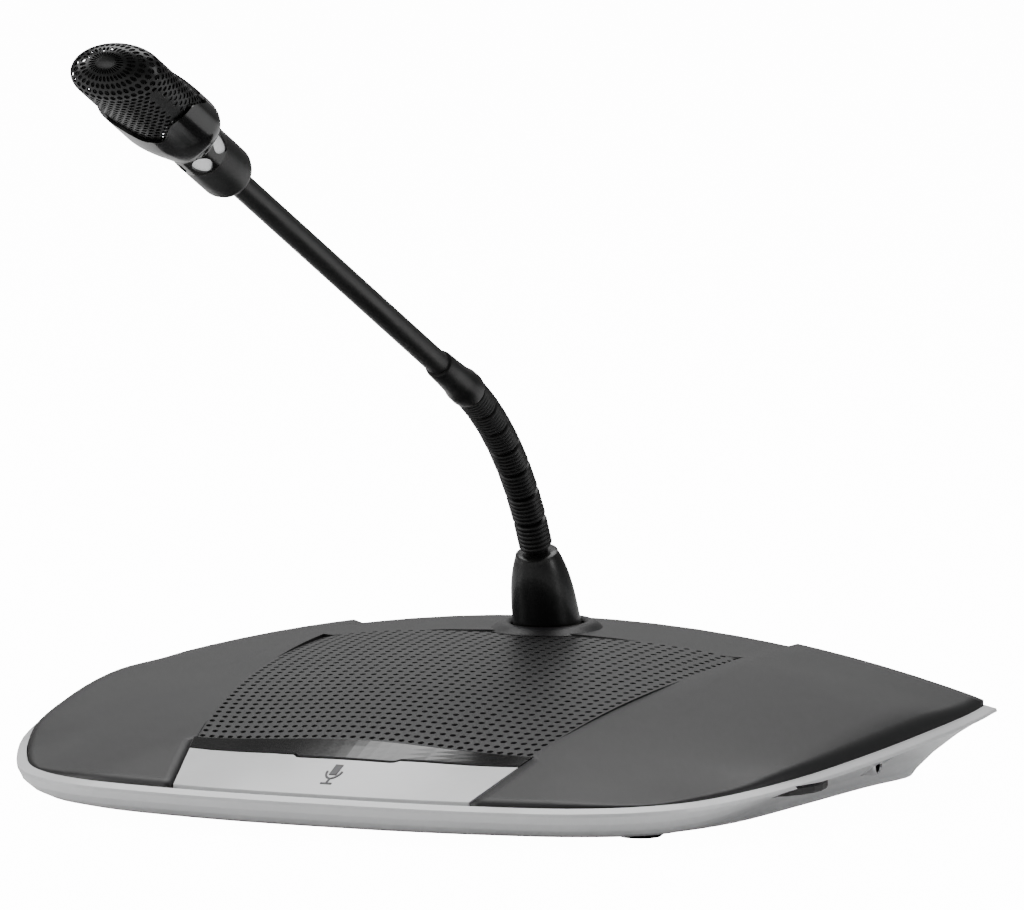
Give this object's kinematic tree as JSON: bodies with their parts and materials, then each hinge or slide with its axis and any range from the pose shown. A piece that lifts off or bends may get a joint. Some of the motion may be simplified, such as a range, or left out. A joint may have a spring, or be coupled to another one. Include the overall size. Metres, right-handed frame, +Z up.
{
  "type": "gooseneck podium microphone",
  "caption": "Desk discussion unit: low tray with an arched grille cover, wide talk key, side volume wheels and a ribbed gooseneck carrying a stem and capped microphone head.",
  "frame": {"origin": "middle of the bounding box in plan, at the underside of the feet", "axes": "+Z up, -Y the side with the talk key that faces the speaker, +X to the right of someone behind the unit's front edge"},
  "size_m": [0.2032, 0.2476, 0.1752],
  "materials": {
    "tray_silver": "satin silver-grey coat",
    "cover_anthracite": "fine matt texture, dark grey",
    "gloss_black": "polished black",
    "button_grey": "flat light grey",
    "inner_black": "moulded black",
    "steel": "plain steel",
    "clear": "clear moulding",
    "foam": "open black foam and cloth",
    "cone_paper": "coated paper",
    "board": "green lacquered board",
    "chrome_ring": "bright plated",
    "rubber": "matt black rubber",
    "brass": "turned brass",
    "stem_black": "satin black coat",
    "ring_white": "translucent white",
    "basket_black": "satin black perforated"
  },
  "bodies": {
    "base": {"base_tray": "tray_silver", "top_cover": "cover_anthracite", "strip_window": "gloss_black", "button_cradle": "inner_black", "hinge_pin": "steel", "button_spring_left": "steel", "button_spring_right": "steel", "talk_switch": "inner_black", "light_guide": "clear", "speaker_gasket": "foam", "speaker_frame": "steel", "speaker_cone": "cone_paper", "speaker_magnet": "steel", "grille_cloth": "foam", "ballast_plate": "steel", "main_board": "board", "volume_pot_right": "inner_black", "volume_pot_left": "inner_black", "jack_ring_right": "chrome_ring", "jack_ring_left": "chrome_ring", "headphone_jack_right": "inner_black", "headphone_jack_left": "inner_black", "foot_front_right": "rubber", "foot_rear_right": "rubber", "foot_front_left": "rubber", "foot_rear_left": "rubber", "screw_front_right": "steel", "screw_rear_right": "steel", "screw_front_left": "steel", "screw_rear_left": "steel", "rear_socket": "inner_black", "cable_gland": "rubber", "socket_collar": "cover_anthracite", "socket_nut": "brass", "mic_connector": "brass", "stem_sleeve": "gloss_black"},
    "talk_key": {"talk_button": "button_grey"},
    "wheel_right": {"volume_wheel_right": "inner_black"},
    "wheel_left": {"volume_wheel_left": "inner_black"},
    "segment_1": {"flex_1": "stem_black"},
    "segment_2": {"flex_2": "stem_black"},
    "segment_3": {"flex_3": "stem_black"},
    "segment_4": {"flex_4": "stem_black"},
    "segment_5": {"flex_5": "stem_black"},
    "segment_6": {"flex_6": "stem_black"},
    "segment_7": {"flex_7": "stem_black"},
    "upper_stem": {"joint_bush": "stem_black", "stem_tube": "stem_black", "head_neck": "gloss_black", "light_ring": "ring_white", "head_cup": "gloss_black", "head_basket": "basket_black", "basket_foam": "foam", "mic_capsule": "brass", "capsule_mount": "rubber"}
  },
  "joints": [
    {"name": "talk_hinge", "type": "hinge", "parent": "base", "child": "talk_key", "pos_m": [0, -0.00708, 0.00721], "axis": [1, 0, 0], "range_deg": [0, 3], "stiffness_Nm_per_rad": 0.5, "springref_deg": -3.44},
    {"name": "volume_right", "type": "hinge", "parent": "base", "child": "wheel_right", "pos_m": [0.07719, 0.03532, 0.0088], "axis": [0, 0, 1], "range_deg": [-135, 135]},
    {"name": "volume_left", "type": "hinge", "parent": "base", "child": "wheel_left", "pos_m": [-0.07719, 0.03532, 0.0088], "axis": [0, 0, 1], "range_deg": [-135, 135]},
    {"name": "bend_1", "type": "hinge", "parent": "base", "child": "segment_1", "pos_m": [0, 0.09945, 0.0488], "axis": [1, 0, 0], "range_deg": [-18, 6]},
    {"name": "side_1", "type": "hinge", "parent": "segment_1", "child": "segment_2", "pos_m": [0, 0.09571, 0.05563], "axis": [0, 0.8295, 0.5585], "range_deg": [-12, 12]},
    {"name": "bend_2", "type": "hinge", "parent": "segment_2", "child": "segment_3", "pos_m": [0, 0.09136, 0.06208], "axis": [1, 0, 0], "range_deg": [-18, 6]},
    {"name": "side_2", "type": "hinge", "parent": "segment_3", "child": "segment_4", "pos_m": [0, 0.08644, 0.06812], "axis": [0, 0.7145, 0.6997], "range_deg": [-12, 12]},
    {"name": "bend_3", "type": "hinge", "parent": "segment_4", "child": "segment_5", "pos_m": [0, 0.08099, 0.07368], "axis": [1, 0, 0], "range_deg": [-18, 6]},
    {"name": "side_3", "type": "hinge", "parent": "segment_5", "child": "segment_6", "pos_m": [0, 0.07506, 0.07873], "axis": [0, 0.5757, 0.8176], "range_deg": [-12, 12]},
    {"name": "bend_4", "type": "hinge", "parent": "segment_6", "child": "segment_7", "pos_m": [0, 0.06869, 0.08321], "axis": [1, 0, 0], "range_deg": [-18, 6]},
    {"name": "side_4", "type": "hinge", "parent": "segment_7", "child": "upper_stem", "pos_m": [0, 0.06195, 0.08709], "axis": [0, 0.4179, 0.9085], "range_deg": [-12, 12]}
  ],
  "couplings": [
    {"joint": "bend_2", "follows": "bend_1", "ratio": 1},
    {"joint": "side_2", "follows": "side_1", "ratio": 1},
    {"joint": "bend_3", "follows": "bend_1", "ratio": 1},
    {"joint": "side_3", "follows": "side_1", "ratio": 1},
    {"joint": "bend_4", "follows": "bend_1", "ratio": 1},
    {"joint": "side_4", "follows": "side_1", "ratio": 1}
  ]
}
